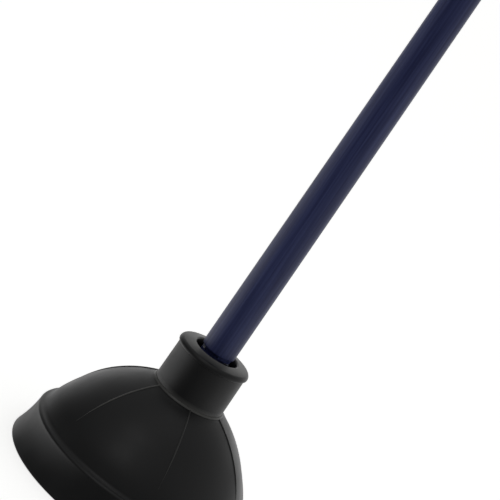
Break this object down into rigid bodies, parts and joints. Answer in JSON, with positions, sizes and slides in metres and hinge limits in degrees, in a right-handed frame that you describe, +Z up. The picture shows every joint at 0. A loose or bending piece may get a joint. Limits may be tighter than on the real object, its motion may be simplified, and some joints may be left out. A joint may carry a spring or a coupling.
{
  "type": "toilet plunger",
  "caption": "Rubber force cup with a stepped bell and a tucked fold-out flange, screwed onto a long turned wooden handle.",
  "frame": {"origin": "on the cup's axis, in the plane of the rim that stands on the floor", "axes": "+Z up along the handle; the cup and handle are round, so +X and +Y are any two directions across it"},
  "size_m": [0.1506, 0.1506, 0.5975],
  "materials": {
    "lacquered_wood": "navy blue gloss lacquer over turned hardwood",
    "black_rubber": "semi-matte, as moulded"
  },
  "bodies": {
    "cup": {"cup_skirt": "black_rubber", "cup_dome": "black_rubber", "flange_web": "black_rubber"},
    "collar": {"cup_collar": "black_rubber", "socket_thread": "black_rubber"},
    "handle_tip": {"handle_nose": "lacquered_wood"},
    "handle": {"handle": "lacquered_wood"},
    "flange": {"flange_tube": "black_rubber"}
  },
  "joints": [
    {"name": "cup_press", "type": "slide", "parent": "cup", "child": "collar", "axis": [0, 0, -1], "range_m": [0, 0.026], "stiffness_N_per_m": 2600, "deforming": ["cup_dome"]},
    {"name": "handle_rise", "type": "slide", "parent": "collar", "child": "handle_tip", "axis": [0, 0, 1], "range_m": [0, 0.0255]},
    {"name": "handle_turn", "type": "hinge", "parent": "handle_tip", "child": "handle", "pos_m": [0, 0, 0.1053], "axis": [0, 0, 1], "range_deg": [0, 1800]},
    {"name": "flange_fold", "type": "slide", "parent": "cup", "child": "flange", "axis": [0, 0, -1], "range_m": [0, 0.032], "deforming": ["flange_web"]}
  ],
  "couplings": [
    {"joint": "handle_rise", "follows": "handle_turn", "m_per_rad": 0.00080851}
  ]
}
